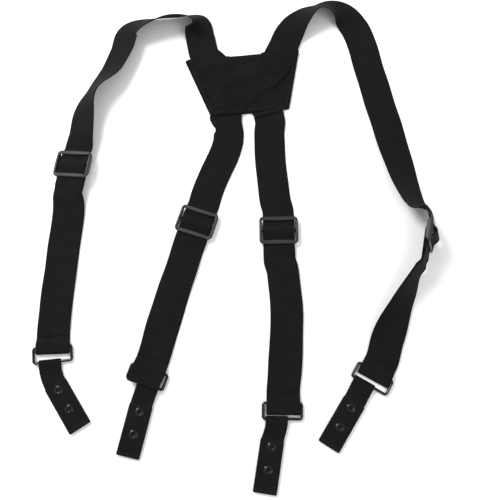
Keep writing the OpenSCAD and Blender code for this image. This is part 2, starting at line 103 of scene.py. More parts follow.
# Stations along each webbing: x, y, height of the lower edge above the floor, bank
STATIONS = [
    [(0, -6, LOWER, 0), (-28, 14, LOWER, 0), (-43, 29, LOWER, 0), (-54, 40, LOWER + 0.3, 1),
     (-60, 66, 1, 8), (-64.5, 85.5, 0, 46), (-90, 87.5, 0, 62), (-120, 82.5, 0, 54),
     (-151, 70.5, 0, 30), (-159.5, 43, 0, 30), (-171.5, 14, 0, 36), (-192, -16, 0, 54),
     (-202, -44, 0, 36), (-204, -72, 0, 27)],
    [(0, -6, UPPER, 0), (-20, -28, UPPER, 0), (-24.5, -50, 2, 0), (-21.5, -74, 0.3, 0),
     (-27.5, -98, 0, 0), (-45.5, -142, 0, 0)],
    [(0, -6, LOWER, 0), (20, -26, LOWER, 0), (30, -50, 1.6, 0), (29, -74, 0.2, 0),
     (31.5, -120, 0, 0), (35.5, SLIDER_AT[BR][1] + LEAD_IN + 18, 0, 0)],
    [(0, -6, UPPER, 0), (30, 18, UPPER, 0), (46, 47, 2, 0), (56, 71, 1, -4),
     (72, 90, 0, -30), (95, 103, 0, -52), (122, 101, 0, -14), (140, 83, 0, 0),
     (150.5, 54, 0, 0), (159.5, 14, 0, 0), (169.5, -28, 0, 0), (179.5, -70, 0, -3),
     (188, -109, 0, -13), (196.5, -144, 0, -28), (204, -166, 0, -42)],
]
# The webbing that carries on across the yoke from each strap
OPPOSITE = (BR, FR, FL, BL)
# Stations of each doubled run from its slider to its ring
RUNS = [
    [(-215, -170, 0, 3), (-218, -220, 0, 0), (-222, -290, 0, 0)],
    [(-76.7, -244, 0, 0), (-93.7, -300, 0, 0)],
    [(44.3, -250, 0, 0), (48, -300, 0, 0), (45.5, -360, 0, 0)],
    [(199, -251, 0, -70), (190, -269, 0, -57), (178.5, -292, 0, -41), (164.2, -326, 0, -10)],
]
# Each fold's place on the ring's upper bar, its heading and its reach past that bar
FOLD_AT = [(-222, -336), (-110, -361.5), (42.5, -399.5), (149, -365)]
FOLD_HEADING = (2, -18, -1, -29)
LOOP_EDGE = BAR_TO_BAR - RING_R - 0.2 - LOOP_T
FOLD_REACH = (LOOP_EDGE - 5.35, BAR_TO_BAR + 2.2, LOOP_EDGE - 0.9, LOOP_EDGE - 3.7)
# Each ring, and the tab that hangs on its lower bar
RING_HEADING = (6, -19, -1, -30)
RING_SHIFT = (-0.4, 0.9, -0.9, -0.7)
TAB_SIDE = (-0.5, 0.7, -0.98, -0.9)
PANEL_HEADING = (33, -13, -9, -32)
LOOP_SLANT = (5, 0.5, -4.5, 0.3)
LOOP_SLACK = (2.5, 0, -0.5, 1.2)
TAB_ROOM = RING_HALF_W - RING_CORNER - LOOP_W / 2 - 0.2


# ---- Vectors and frames ----

def unit(v):
    return v / np.linalg.norm(v)


def along(h):
    h = math.radians(h)
    return np.array([math.sin(h), -math.cos(h), 0.0])


def across(h, b=0.0):
    h, b = math.radians(h), math.radians(b)
    return np.array([math.cos(b) * math.cos(h), math.cos(b) * math.sin(h), math.sin(b)])


def normal(h, b=0.0):
    return np.cross(along(h), across(h, b))


def placed(o, h, b, u, v, w):
    return np.array(o) + u * along(h) + v * across(h, b) + w * normal(h, b)


def slider_origin(k):
    b = math.radians(SLIDER_BANK[k])
    tilt = abs(math.sin(b))
    lift = max(STRAP_W / 2 * tilt, SLIDER_W / 2 * tilt - RAIL_LOW * math.cos(b))
    return np.array([*SLIDER_AT[k], lift])


def fold_origin(k):
    return np.array([*FOLD_AT[k], 0.0])


def ring_origin(k):
    return placed(fold_origin(k), RING_HEADING[k], 0, 0, RING_SHIFT[k], 0)


def tab_origin(k):
    return placed(ring_origin(k), RING_HEADING[k], 0, BAR_TO_BAR, TAB_SIDE[k] * TAB_ROOM, 0)


def panel_origin(k):
    return placed(tab_origin(k), RING_HEADING[k], 0, LOOP_REACH + LOOP_SLACK[k], LOOP_SLANT[k],
                  0)


def smoothstep(x):
    x = min(max(x, 0.0), 1.0)
    return x * x * (3 - 2 * x)


# ---- Runs through stations ----

def curve(a, b, c, d, t):
    return (2 * b + (c - a) * t + (2 * a - 5 * b + 4 * c - d) * t * t
            + (3 * b - a - 3 * c + d) * t ** 3) / 2


def slope(a, b, c, d, t):
    return ((c - a) + 2 * (2 * a - 5 * b + 4 * c - d) * t
            + 3 * (3 * b - a - 3 * c + d) * t * t) / 2


def lifted(s, stack):
    bank = abs(math.sin(math.radians(s[3])))
    return np.array([s[0], s[1], s[2] + STRAP_W / 2 * bank + stack / 2, s[3]], float)


def framed(o, h, b, u, w):
    return np.array([*placed(o, h, b, u, 0, w), b])


def beyond(end, inner, h, sign=1):
    reach = 2 * np.linalg.norm(end[:3] - inner[:3])
    return np.array([*(inner[:3] + sign * reach * along(h)), inner[3]])


def rings_through(points, stack, steps):
    """Middle, across and front normal of each ring along a smoothed run."""
    out = []
    for i in range(1, len(points) - 2):
        a, b, c, d = points[i - 1:i + 3]
        for j in range(steps + (1 if i == len(points) - 3 else 0)):
            p = curve(a, b, c, d, j / steps)
            t = unit(slope(a, b, c, d, j / steps)[:3])
            bank = math.radians(p[3])
            p[2] = max(p[2], STRAP_W / 2 * abs(math.sin(bank)) + stack / 2)
            left = unit(np.array([-t[1], t[0], 0.0]))
            w = math.cos(bank) * left + math.sin(bank) * np.cross(t, left)
            out.append((p[:3], w, np.cross(t, w)))
    return out


def raised(rings, by):
    return [(p + by * n, w, n) for p, w, n in rings]


def strap_rings(k, steps):
    own = [lifted(s, STRAP_T) for s in STATIONS[k]]
    end = framed(slider_origin(k), SLIDER_HEADING[k], SLIDER_BANK[k], -LEAD_IN, RETURN_Z)
    over = lifted(STATIONS[OPPOSITE[k]][1], STRAP_T)
    points = [over, *own, end, beyond(end, own[-1], SLIDER_HEADING[k])]
    return rings_through(points, STRAP_T, steps)


def run_rings(k, steps=16):
    mid, stack = STRAP_T + GAP / 2, 2 * STRAP_T + GAP
    own = [lifted(s, stack) for s in RUNS[k]]
    start = framed(slider_origin(k), SLIDER_HEADING[k], SLIDER_BANK[k], LEAD_OUT, mid)
    end = framed(fold_origin(k), FOLD_HEADING[k], 0, -FOLD_LEAD, mid)
    points = [beyond(start, own[0], SLIDER_HEADING[k], -1), start, *own, end,
              beyond(end, own[-1], FOLD_HEADING[k])]
    return rings_through(points, stack, steps)


def refined(path, n=4):
    """More points on a smooth curve through a path of (u, w) points."""
    p = [np.array(q, float) for q in path]
    p = [2 * p[0] - p[1], *p, 2 * p[-1] - p[-2]]
    out = []
    for i in range(1, len(p) - 2):
        out += [curve(*p[i - 1:i + 3], j / n) for j in range(n)]
    return [*out, p[-2]]


def profiled(o, h, b, path):
    out = []
    for i, q in enumerate(path):
        t = unit(path[min(i + 1, len(path) - 1)] - path[max(i - 1, 0)])
        n = -t[1] * along(h) + t[0] * normal(h, b)
        out.append((placed(o, h, b, q[0], 0, q[1]), across(h, b), n))
    return out


def arc(u, w, r, angles):
    return [(u + r * math.cos(math.radians(a)), w + r * math.sin(math.radians(a)))
            for a in angles]


# ---- Meshes ----

def linked(name, data):
    obj = bpy.data.objects.new(name, data)
    bpy.context.scene.collection.objects.link(obj)
    return obj


def mesh_object(name, verts, faces, uvs=None):
    """verts in millimetres; uvs holds one (across, along) pair, in millimetres, for each vertex."""
    mesh = bpy.data.meshes.new(name)
    mesh.from_pydata([tuple(np.array(v) * MM) for v in verts], [], faces)
    if uvs is not None:
        layer = mesh.uv_layers.new(name="cloth")
        for loop in mesh.loops:
            layer.data[loop.index].uv = uvs[loop.vertex_index]
    for p in mesh.polygons:
        p.use_smooth = True
    bm = bmesh.new()
    bm.from_mesh(mesh)
    bmesh.ops.recalc_face_normals(bm, faces=bm.faces)
    bm.to_mesh(mesh)
    bm.free()
    mesh.validate()
    return linked(name, mesh)


def lathe_profile(profile, segments):
    """A closed solid of revolution about Z through a profile of (radius, height) points."""
    verts, faces, rows = [], [], []
    for r, z in profile:
        if r < 1e-6:
            rows.append([len(verts)])
            verts.append((0, 0, z))
        else:
            rows.append(list(range(len(verts), len(verts) + segments)))
            verts += [(r * math.cos(2 * math.pi * i / segments),
                       r * math.sin(2 * math.pi * i / segments), z) for i in range(segments)]
    pairs = list(zip(rows, rows[1:]))
    if len(rows[0]) > 1:
        pairs.append((rows[-1], rows[0]))
    for a, b in pairs:
        for i in range(segments):
            j = (i + 1) % segments
            if len(a) == 1:
                faces.append((a[0], b[i], b[j]))
            elif len(b) == 1:
                faces.append((a[i], b[0], a[j]))
            else:
                faces.append((a[i], b[i], b[j], a[j]))
    return verts, faces


def set_in(verts, o, h, b=0.0):
    """Vertices of a frame's (u, v, w) as points of the row frame."""
    a, c, n = along(h), across(h, b), normal(h, b)
    return [np.array(o) + v[0] * a + v[1] * c + v[2] * n for v in verts]


# Half a webbing's section, from its middle to its selvage: share of the half width, and height
SECTION = [(0, 1), (0.2, 1), (0.4, 1), (0.6, 1), (0.78, 1), (0.9, 0.97), (0.955, 0.9),
           (0.985, 0.72), (0.998, 0.35)]


def section(w, t):
    top = [(-s * w / 2, z * t / 2) for s, z in reversed(SECTION)]
    top += [(s * w / 2, z * t / 2) for s, z in SECTION[1:]]
    return top + [(v, -z) for v, z in reversed(top)]


def ribbon(name, rings, w, t, wave=0.0, seed=0.0, pleat=None):
    """A closed strip of webbing through the rings, and its length.

    wave is how far its edges wander, and pleat(y) how far its -X edge is pulled in.
    """
    sec = section(w, t)
    n = len(sec)
    verts, uvs, faces = [], [], []
    s = 0.0
    for i, (p, wd, nm) in enumerate(rings):
        if i:
            s += float(np.linalg.norm(p - rings[i - 1][0]))
        fade = min(1.0, i / 8, (len(rings) - 1 - i) / 8)
        for v, z in sec:
            side = 1 if v > 0 else -1
            stray = wave * fade * math.sin(s / 9.0 + seed + side * 1.3) * abs(v) / (w / 2)
            lift = wave * fade * 0.5 * math.sin(s / 14.0 + 2 * seed) * (1 - abs(v) / (w / 2))
            if pleat and side < 0:
                stray -= pleat(p[1]) * (abs(v) / (w / 2)) ** 2
            verts.append(p + (v + side * stray) * wd + (z + max(lift, 0)) * nm)
            uvs.append((v, s))
    for i in range(len(rings) - 1):
        for j in range(n):
            a, b = n * i + j, n * i + (j + 1) % n
            faces.append((a, a + n, b + n, b))
    faces.append(tuple(range(n)))
    faces.append(tuple(range(len(verts) - 1, len(verts) - n - 1, -1)))
    return mesh_object(name, verts, faces, uvs), s


def joined(parts):
    """One list of vertices and one of faces from several."""
    verts, faces = [], []
    for v, f in parts:
        faces += [tuple(i + len(verts) for i in face) for face in f]
        verts += list(v)
    return verts, faces


def spaced(length, pitch):
    """Grid lines across a length, closer together at both hems."""
    hem = [0.0, 0.3, 0.8, 1.6]
    count = max(2, round((length - 2 * hem[-1]) / pitch))
    inner = [hem[-1] + (length - 2 * hem[-1]) * i / count for i in range(1, count)]
    return [x / length for x in hem + inner + [length - h for h in reversed(hem)]]


def pad(name, corners, low, high, pitch, rounding, place):
    """A sewn panel: a grid between low(u, v) and high(u, v), with soft edges in two layers.

    pitch holds the grid's spacing both ways, and place moves its points to the row frame.
    """
    c = [np.array(q, float) for q in corners]
    a_lines = spaced(np.linalg.norm(c[1] - c[0]), pitch[0])
    b_lines = spaced(np.linalg.norm(c[3] - c[0]), pitch[1])
    edges = [(c[i], unit(c[(i + 1) % 4] - c[i])) for i in range(4)]
    inward = [np.array([-t[1], t[0]]) for _, t in edges]
    middle = sum(c) / 4
    inward = [n if (middle - q) @ n > 0 else -n for (q, _), n in zip(edges, inward)]

    def settled(q):
        """The point within the rounded outline, and its distance from the edge."""
        d = [float((q - e[0]) @ n) for e, n in zip(edges, inward)]
        for i in range(4):
            j = (i + 3) % 4
            if d[i] < rounding and d[j] < rounding:
                # Solve for the centre of this corner's rounding
                m = np.array([inward[i], inward[j]])
                centre = np.linalg.solve(m, m @ c[i] + rounding)
                r = np.linalg.norm(q - centre)
                if r > rounding:
                    q = centre + (q - centre) * rounding / r
                return q, max(0.0, rounding - r)
        return q, max(0.0, min(d))

    rows, cols = len(b_lines), len(a_lines)
    plan = []
    for b in b_lines:
        for a in a_lines:
            q = (1 - a) * (1 - b) * c[0] + a * (1 - b) * c[1] + a * b * c[2] + (1 - a) * b * c[3]
            plan.append(settled(q))
    top, bottom, uvs = [], [], []
    for q, edge in plan:
        lo, hi = low(*q), high(*q)
        drop = 0.3 * (hi - lo) * max(0.0, 1 - edge / 1.2) ** 2
        top.append((*q, hi - drop))
        bottom.append((*q, lo + drop))
        uvs.append((q[1], q[0]))
    n = rows * cols
    rim = [*range(cols), *(cols * i + cols - 1 for i in range(1, rows)),
           *(n - 2 - i for i in range(cols - 1)), *(cols * (rows - 2 - i) for i in range(rows - 2))]
    seam = []
    for i in rim:
        q = plan[i][0]
        q = q + 0.25 * unit(middle - q)
        seam.append((*q, (top[i][2] + bottom[i][2]) / 2))
    faces = []
    for i in range(rows - 1):
        for j in range(cols - 1):
            a = cols * i + j
            faces.append((a, a + 1, a + cols + 1, a + cols))
            faces.append((n + a, n + a + cols, n + a + cols + 1, n + a + 1))
    for i, a in enumerate(rim):
        j = (i + 1) % len(rim)
        faces.append((a, rim[j], 2 * n + j, 2 * n + i))
        faces.append((2 * n + i, 2 * n + j, n + rim[j], n + a))
    uvs = uvs + uvs + [uvs[i] for i in rim]
    return mesh_object(name, place([*top, *bottom, *seam]), faces, uvs)


def stitch(length, width, height):
    """A plump stitch along the first axis, on z = 0."""
    verts, faces, rings, sides = [], [], 7, 8
    for i in range(rings):
        x = -math.cos(math.pi * i / (rings - 1))
        r = math.sqrt(max(0.0, 1 - x * x)) ** 0.7 + 0.02
        for j in range(sides):
            a = 2 * math.pi * j / sides
            verts.append((x * length / 2, r * width / 2 * math.cos(a),
                          height * 0.4 + r * height * 0.6 * math.sin(a)))
    for i in range(rings - 1):
        for j in range(sides):
            a, b = sides * i + j, sides * i + (j + 1) % sides
            faces.append((a, b, b + sides, a + sides))
    faces.append(tuple(range(sides)))
    faces.append(tuple(range(sides * rings - 1, sides * (rings - 1) - 1, -1)))
    return verts, faces


def turned(verts, at, degrees):
    """Vertices turned about z and moved."""
    c, s = math.cos(math.radians(degrees)), math.sin(math.radians(degrees))
    return [(at[0] + c * v[0] - s * v[1], at[1] + s * v[0] + c * v[1], at[2] + v[2])
            for v in verts]


# ---- Materials ----

def principled(name, color, rough, spec, sheen=0.0, coat=0.0):
    m = bpy.data.materials.new(name)
    m.use_nodes = True
    nodes, links = m.node_tree.nodes, m.node_tree.links
    b = nodes["Principled BSDF"]
    b.inputs["Base Color"].default_value = (*color, 1)
    b.inputs["Roughness"].default_value = rough
    b.inputs["Specular IOR Level"].default_value = spec
    if sheen:
        b.inputs["Sheen Weight"].default_value = sheen
        b.inputs["Sheen Roughness"].default_value = 0.5
        b.inputs["Sheen Tint"].default_value = (0.6, 0.6, 0.62, 1)
    if coat:
        b.inputs["Coat Weight"].default_value = coat
        b.inputs["Coat Roughness"].default_value = 0.12
    return m, nodes, links, b


def math_node(nodes, links, op, a, b=None):
    n = nodes.new("ShaderNodeMath")
    n.operation = op
    for i, v in enumerate((a, b)):
        if v is None:
            continue
        if isinstance(v, (int, float)):
            n.inputs[i].default_value = v
        else:
            links.new(v, n.inputs[i])
    return n.outputs[0]


def ramp_node(nodes, links, value, stops):
    n = nodes.new("ShaderNodeValToRGB")
    e = n.color_ramp.elements
    while len(e) < len(stops):
        e.new(0.5)
    for el, (pos, c) in zip(e, stops):
        el.position = pos
        el.color = (*c, 1)
    links.new(value, n.inputs[0])
    return n.outputs[0]


def noise_node(nodes, links, vector, scale, detail):
    n = nodes.new("ShaderNodeTexNoise")
    n.inputs["Scale"].default_value = scale
    n.inputs["Detail"].default_value = detail
    links.new(vector, n.inputs["Vector"])
    return n.outputs["Fac"]


def add_bump(nodes, links, b, height, strength, depth):
    """Bump from a height value, depth millimetres deep."""
    bump = nodes.new("ShaderNodeBump")
    bump.inputs["Strength"].default_value = strength
    bump.inputs["Distance"].default_value = depth * MM
    links.new(height, bump.inputs["Height"])
    links.new(bump.outputs[0], b.inputs["Normal"])


def cloth_material(name, dark, light, rib=1.3, weft=1.1, depth=0.12, rough=0.9, sheen=0.03):
    """Ribbed elastic webbing. rib and weft are the spacings, in mm, across and along it."""
    m, nodes, links, b = principled(name, dark, rough, spec=0.1, sheen=sheen)
    uv = nodes.new("ShaderNodeUVMap")
    uv.uv_map = "cloth"
    sep = nodes.new("ShaderNodeSeparateXYZ")
    links.new(uv.outputs[0], sep.inputs[0])
    turn = 2 * math.pi
    ribs = math_node(nodes, links, "SINE",
                     math_node(nodes, links, "MULTIPLY", sep.outputs[0], turn / rib))
    # Every other rib carries its weft half a step further on
    step = math_node(nodes, links, "MULTIPLY",
                     math_node(nodes, links, "FLOOR",
                               math_node(nodes, links, "DIVIDE", sep.outputs[0], rib)), math.pi)
    wefts = math_node(nodes, links, "SINE", math_node(
        nodes, links, "ADD",
        math_node(nodes, links, "MULTIPLY", sep.outputs[1], turn / weft), step))
    geo = nodes.new("ShaderNodeNewGeometry")
    fuzz = noise_node(nodes, links, geo.outputs["Position"], 900.0, 3.0)
    cloud = noise_node(nodes, links, geo.outputs["Position"], 55.0, 3.0)
    knit = math_node(nodes, links, "ADD", math_node(nodes, links, "MULTIPLY", ribs, 0.6),
                     math_node(nodes, links, "MULTIPLY", wefts, 0.4))
    tone = math_node(nodes, links, "ADD", math_node(nodes, links, "MULTIPLY", knit, 0.16),
                     math_node(nodes, links, "ADD",
                               math_node(nodes, links, "MULTIPLY", fuzz, 0.5),
                               math_node(nodes, links, "MULTIPLY", cloud, 0.45)))
    links.new(ramp_node(nodes, links, tone, [(0.25, dark), (0.75, light)]),
              b.inputs["Base Color"])
    rough_value = math_node(nodes, links, "ADD", rough - 0.06,
                            math_node(nodes, links, "MULTIPLY", cloud, 0.12))
    links.new(rough_value, b.inputs["Roughness"])
    height = math_node(nodes, links, "ADD", knit, math_node(nodes, links, "MULTIPLY", fuzz, 0.8))
    add_bump(nodes, links, b, height, strength=0.7, depth=depth)
    return m


def plastic_material(name, dark, light, rough=0.42):
    """Moulded plastic with fine graining, and a painted highlight along its convex edges."""
    m, nodes, links, b = principled(name, dark, rough, spec=0.35)
    geo = nodes.new("ShaderNodeNewGeometry")
    grain = noise_node(nodes, links, geo.outputs["Position"], 1500.0, 3.0)
    cloud = noise_node(nodes, links, geo.outputs["Position"], 120.0, 2.0)
    # Lighter on convex edges: painted highlight where the bevels catch the light
    painted_edge_highlight = ramp_node(nodes, links, geo.outputs["Pointiness"],
                     [(0.50, (0, 0, 0)), (0.62, (1, 1, 1))])
    tone = math_node(nodes, links, "ADD", math_node(nodes, links, "MULTIPLY", cloud, 0.6),
                     math_node(nodes, links, "MULTIPLY", painted_edge_highlight, 0.5))
    links.new(ramp_node(nodes, links, tone, [(0.2, dark), (0.85, light)]),
              b.inputs["Base Color"])
    links.new(math_node(nodes, links, "ADD", rough - 0.05,
                        math_node(nodes, links, "MULTIPLY", grain, 0.12)),
              b.inputs["Roughness"])
    add_bump(nodes, links, b, grain, strength=0.35, depth=0.03)
    return m


def lacquer_material(name, dark, light, rough=0.09):
    """Black lacquered metal, with faint brushing."""
    m, nodes, links, b = principled(name, dark, rough, spec=0.3, coat=0.15)
    geo = nodes.new("ShaderNodeNewGeometry")
    cloud = noise_node(nodes, links, geo.outputs["Position"], 260.0, 3.0)
    fine = noise_node(nodes, links, geo.outputs["Position"], 1800.0, 2.0)
    links.new(ramp_node(nodes, links, cloud, [(0.3, dark), (0.8, light)]),
              b.inputs["Base Color"])
    links.new(math_node(nodes, links, "ADD", rough,
                        math_node(nodes, links, "MULTIPLY", cloud, 0.14)),
              b.inputs["Roughness"])
    add_bump(nodes, links, b, fine, strength=0.12, depth=0.02)
    return m


webbing = cloth_material("webbing", (0.0028, 0.0026, 0.0027), (0.0095, 0.0088, 0.0091))
tab_cloth = cloth_material("tab_webbing", (0.0028, 0.0027, 0.0028), (0.0090, 0.0087, 0.0090),
                           rib=1.1, weft=1.4)
yoke_cloth = cloth_material("yoke_cloth", (0.0014, 0.0014, 0.0014), (0.0085, 0.0086, 0.0086),
                            rib=2.6, weft=1.7, depth=0.25, rough=0.92)
thread = cloth_material("thread", (0.010, 0.010, 0.011), (0.030, 0.030, 0.032),
                        rib=0.3, weft=0.5, depth=0.05, rough=0.7, sheen=0.1)
plastic = plastic_material("slider_plastic", (0.008, 0.008, 0.008), (0.022, 0.022, 0.022))
lacquer = lacquer_material("black_lacquer", (0.0015, 0.0015, 0.0017), (0.005, 0.005, 0.0055))


def finish_piece(obj, material, nodes):
    """Gives a piece its material, and hides the CAD nodes that it stands for."""
    obj.data.materials.append(material)
    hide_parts(*nodes)


# ---- Straps, runs and folds ----

TAIL_Z = 1.5 * STRAP_T + GAP
OVER_TAIL_Z = 2.5 * STRAP_T + 2 * GAP
# Paths of (u, w) points through a slider: the threaded webbing, and its end sewn round the bar
THREADED = [(-LEAD_IN, RETURN_Z), (-LEAD_IN + 1.5, RETURN_Z), (-SLIDER_L / 2 - 1, 1.3 * STRAP_T),
            (-BAR_U, 2 * STRAP_T), (-BAR_U + 4, 2.5 * STRAP_T), (-HUMP_R - 1.6, CENTRE_Z + 1),
            *arc(0, CENTRE_Z, HUMP_R, range(150, 60, -20)),
            (2 * STRAP_T, CENTRE_Z + 0.85 * HUMP_R), (3.6 * STRAP_T, OVER_TAIL_Z + 1.6),
            (5.6 * STRAP_T, OVER_TAIL_Z + 0.5), (BAR_U - 3, OVER_TAIL_Z),
            (SLIDER_L / 2 + 2, OVER_TAIL_Z), (TAIL_U + 0.5, OVER_TAIL_Z),
            (TAIL_U + 3, OVER_TAIL_Z - 0.5 * STRAP_T), (LEAD_OUT - 2, FRONT_Z)]
SEWN = [(TAIL_U, TAIL_Z), (5.6 * STRAP_T, TAIL_Z), (3.6 * STRAP_T, TAIL_Z + 0.5),
        (2.3 * STRAP_T, CENTRE_Z + 0.5 * STRAP_T),
        *arc(0, CENTRE_Z, WRAP_R, range(50, 280, 20)),
        (4 * STRAP_T, RETURN_Z), (LEAD_OUT - 2, RETURN_Z)]
HALF_STACK = (STRAP_T + GAP) / 2


def fold_path(reach):
    """The fold round the ring's upper bar; a long one climbs over the lower bar and the tab."""
    lead = [(-FOLD_LEAD, FRONT_Z), (-FOLD_LEAD + 1.5, FRONT_Z), (-FOLD_LEAD + 4, FRONT_Z + 0.7),
            (-5.5, RING_Z + 1.4), (-3.2, RING_Z + FOLD_R), (0, RING_Z + FOLD_R + 0.05)]
    if reach > BAR_TO_BAR:
        r = (STRAP_T + 2 * GAP) / 2
        u = reach - r - STRAP_T / 2
        w = RING_Z + RING_R + LOOP_T + STRAP_T + r + 0.6
        turn = [(u * 0.3, RING_Z + FOLD_R + 0.8), (u * 0.65, w),
                *arc(u, w, r, range(90, -91, -30)),
                (u * 0.8, w - r - 0.1), (u * 0.55, w - r - 2.2), (u * 0.3, RETURN_Z + 1.4),
                (u * 0.12, RETURN_Z + 0.1)]
    else:
        u = reach - FOLD_R - STRAP_T / 2
        turn = [(u * 0.6, RING_Z + FOLD_R), *arc(u, RING_Z, FOLD_R, range(90, -91, -20))]
    return lead + turn + [(-2, RETURN_Z), (-FOLD_LEAD + 1.5, RETURN_Z), (-FOLD_LEAD, RETURN_Z)]


# Where along its run each returning layer has wandered most, and how far to its +X side
DRIFT = [(0.3, 0.8), (0.7, 1.6), (0.75, -1.4), (0.75, -1.4)]
# How far the slack webbing stands off each slider's centre bar
LOFT = (0.4, 0.3, 0.3, 6.0)


def bell(x, middle, width):
    return math.exp(-((x - middle) / width) ** 2)


def back_left_pleat(y):
    """The edge sticks out under the yoke and is folded in just below it."""
    return 4.0 * bell(y, -61, 5) - 2.5 * bell(y, -49, 4)


def rolled(rings):
    """A roll across the webbing just below the yoke, steepest on its lower side."""
    crest, height, above, below = -43.5, 3.0, 6, 2.5
    out = []
    for p, w, n in rings:
        d = p[1] - crest
        rise = height * smoothstep((above - d) / above if d > 0 else (below + d) / below)
        out.append((p + rise * UP, w, n))
    return out


def drifted(rings, spot, shift):
    """Rings moved sideways round one spot of a run, which is 0 to 1 along it."""
    last = len(rings) - 1
    return [(p + shift * bell(i / last, spot, 0.16) * math.sin(math.pi * i / last) * w, w, n)
            for i, (p, w, n) in enumerate(rings)]


def lofted(path, loft):
    """A threaded path with more slack between the slider's two outer bars."""
    slack = [math.cos(math.pi * u / (2 * BAR_U)) if abs(u) < BAR_U else 0.0 for u, _ in path]
    return [(u, w + loft * s ** 1.5) for (u, w), s in zip(path, slack)]


for k, key in enumerate(KEYS):
    slider_body, carrier = key + "_slider_body", key + "_carrier"

    rings = strap_rings(k, 36 if k == BR else 16)
    strap, length = ribbon(key + "_webbing", rolled(rings) if k == BR else rings, STRAP_W,
                           STRAP_T, wave=0.25, seed=k * 1.7,
                           pleat=back_left_pleat if k == BL else None)
    finish_piece(strap, webbing, [key + "_strap"])
    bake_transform(strap)

    threaded = profiled(slider_origin(k), SLIDER_HEADING[k], SLIDER_BANK[k],
                        refined(lofted(THREADED, LOFT[k])))
    rings = run_rings(k)
    front, length = ribbon(key + "_front_webbing", threaded + raised(rings, HALF_STACK)[1:],
                           STRAP_W, STRAP_T, wave=0.25, seed=k * 2.3 + 1)
    finish_piece(front, webbing, [key + "_front_run"])
    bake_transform(front)

    sewn = profiled(slider_origin(k), SLIDER_HEADING[k], SLIDER_BANK[k], refined(SEWN))
    under = drifted(raised(rings, -HALF_STACK), *DRIFT[k])
    back, length = ribbon(key + "_return_webbing", sewn + under[1:], STRAP_W, STRAP_T)
    finish_piece(back, webbing, [key + "_return_run"])
    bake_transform(back)

    path = refined(fold_path(FOLD_REACH[k]), 3)
    fold, length = ribbon(key + "_fold_webbing",
                          profiled(fold_origin(k), FOLD_HEADING[k], 0, path), STRAP_W, STRAP_T)
    finish_piece(fold, webbing, [key + "_loop_fold"])
    if FOLD_REACH[k] > BAR_TO_BAR:
        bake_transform(fold)
    else:
        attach(fold, carrier)

# ---- Sliders ----


def slider_outline():
    """Points on a slider's outer edge, each with its outward direction."""
    du, dv = SLIDER_L / 2 - SLIDER_CORNER, SLIDER_W / 2 - SLIDER_CORNER
    out = []
    for su, sv, first in ((1, 1, 0), (-1, 1, 90), (-1, -1, 180), (1, -1, 270)):
        for i in range(9):
            a = math.radians(first + 90 * i / 8)
            n = (math.cos(a), math.sin(a))
            out.append((su * du + SLIDER_CORNER * n[0], sv * dv + SLIDER_CORNER * n[1], *n))
        reach = 2 * du if first in (0, 180) else 2 * dv
        u, v, nu, nv = out[-1]
        side = (-nv, nu)
        out += [(u + side[0] * reach * i / 14, v + side[1] * reach * i / 14, nu, nv)
                for i in range(1, 14)]
    return out


def slider_frame():
    """A slider's frame: bars that are widest in the middle, and lens-shaped side rails."""
    verts, faces, n = [], [], 20
    outline = slider_outline()
    for u, v, nu, nv in outline:
        bar = BAR_W * (0.86 + 0.14 * math.cos(math.pi * v / SLIDER_W))
        wide = RAIL_W * nv * nv + bar * nu * nu
        deep = smoothstep((17 - abs(u)) / 9) * nv * nv
        low = SLIDER_Z + (RAIL_LOW - SLIDER_Z) * deep
        top = SLIDER_TOP + RAIL_RISE * max(0.0, 1 - (2 * u / SLIDER_L) ** 2)
        for i in range(n):
            a = 2 * math.pi * i / n
            x, z = math.cos(a), math.sin(a)
            x, z = (math.copysign(abs(q) ** 0.6, q) for q in (x, z))
            inset = wide / 2 * (1 - x)
            verts.append((u - nu * inset, v - nv * inset,
                          (low + top) / 2 + z * (top - low) / 2))
    rows = len(outline)
    for i in range(rows):
        for j in range(n):
            a, b = n * i, n * ((i + 1) % rows)
            faces.append((a + j, b + j, b + (j + 1) % n, a + (j + 1) % n))
    return verts, faces


def slider_centre_bar():
    """The centre bar, which reaches into both side rails."""
    r, half = CENTRE_D / 2, 22.0
    bar, faces = lathe_profile([(0, -half), (r, -half), (r, half), (0, half)], 24)
    return [(v[0], v[2], CENTRE_Z + v[1]) for v in bar], faces


# ---- Tabs ----

MID_Z = CAP_T + PANEL_T / 2
LOOP_R = RING_R + 0.2 + LOOP_T / 2
LAYER = LOOP_T / 2 + 0.03


